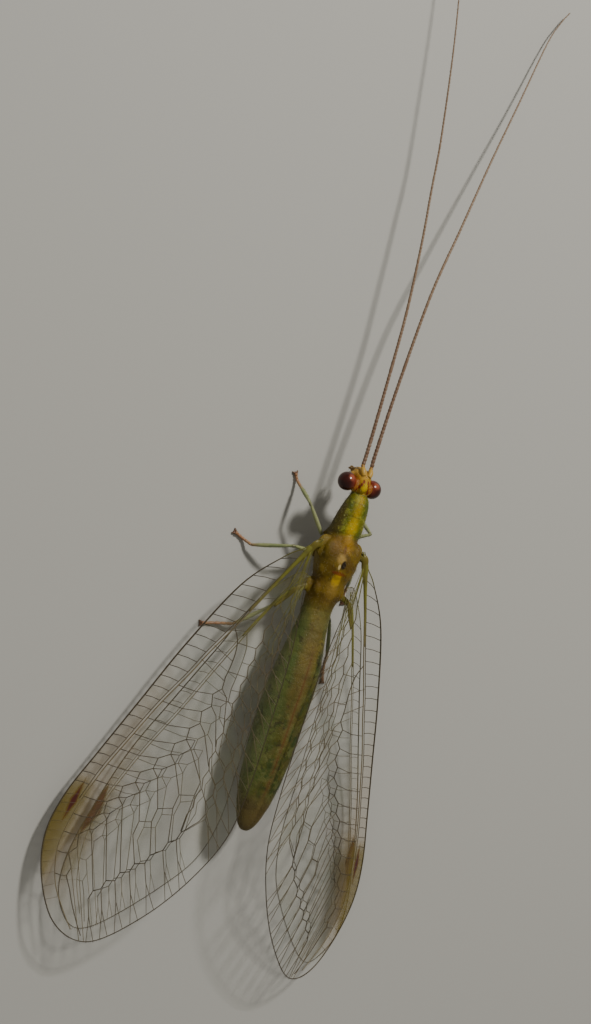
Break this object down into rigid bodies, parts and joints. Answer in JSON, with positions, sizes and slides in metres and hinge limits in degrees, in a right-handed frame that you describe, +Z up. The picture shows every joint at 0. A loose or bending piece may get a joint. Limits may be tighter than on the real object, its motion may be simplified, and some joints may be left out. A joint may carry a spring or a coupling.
{
  "type": "green lacewing",
  "caption": "Green lacewing at rest, wings held roof-like over its back, with long thread-like antennae reaching forward.",
  "frame": {"origin": "middle of the bounding box's bottom, on the floor that the feet stand on", "axes": "-Y towards the head and antennae, +X the animal's left side, +Z up"},
  "size_m": [0.015, 0.044, 0.0035],
  "materials": {
    "head_yellow": "smooth waxy cuticle",
    "eye_red": "glossy dark eye",
    "antenna_brown": "fine dull cuticle",
    "pronotum_green": "smooth waxy cuticle",
    "thorax_amber": "smooth waxy cuticle",
    "abdomen_green": "dull cuticle",
    "leg_green": "dull cuticle",
    "foot_brown": "dull cuticle",
    "wing_clear": "thin clear membrane"
  },
  "bodies": {
    "root": {"head": "head_yellow", "prothorax": "pronotum_green", "mesothorax": "thorax_amber", "metathorax": "thorax_amber", "abdomen": "abdomen_green", "eye_left": "eye_red", "scape_left": "head_yellow", "flagellum_left": "antenna_brown", "forewing_left": "wing_clear", "hindwing_left": "wing_clear", "foreleg_left_femur": "leg_green", "foreleg_left_tibia": "leg_green", "foreleg_left_tarsus": "foot_brown", "midleg_left_femur": "leg_green", "midleg_left_tibia": "leg_green", "midleg_left_tarsus": "foot_brown", "hindleg_left_femur": "leg_green", "hindleg_left_tibia": "leg_green", "hindleg_left_tarsus": "foot_brown", "eye_right": "eye_red", "scape_right": "head_yellow", "flagellum_right": "antenna_brown", "forewing_right": "wing_clear", "hindwing_right": "wing_clear", "foreleg_right_femur": "leg_green", "foreleg_right_tibia": "leg_green", "foreleg_right_tarsus": "foot_brown", "midleg_right_femur": "leg_green", "midleg_right_tibia": "leg_green", "midleg_right_tarsus": "foot_brown", "hindleg_right_femur": "leg_green", "hindleg_right_tibia": "leg_green", "hindleg_right_tarsus": "foot_brown"}
  },
  "joints": []
}
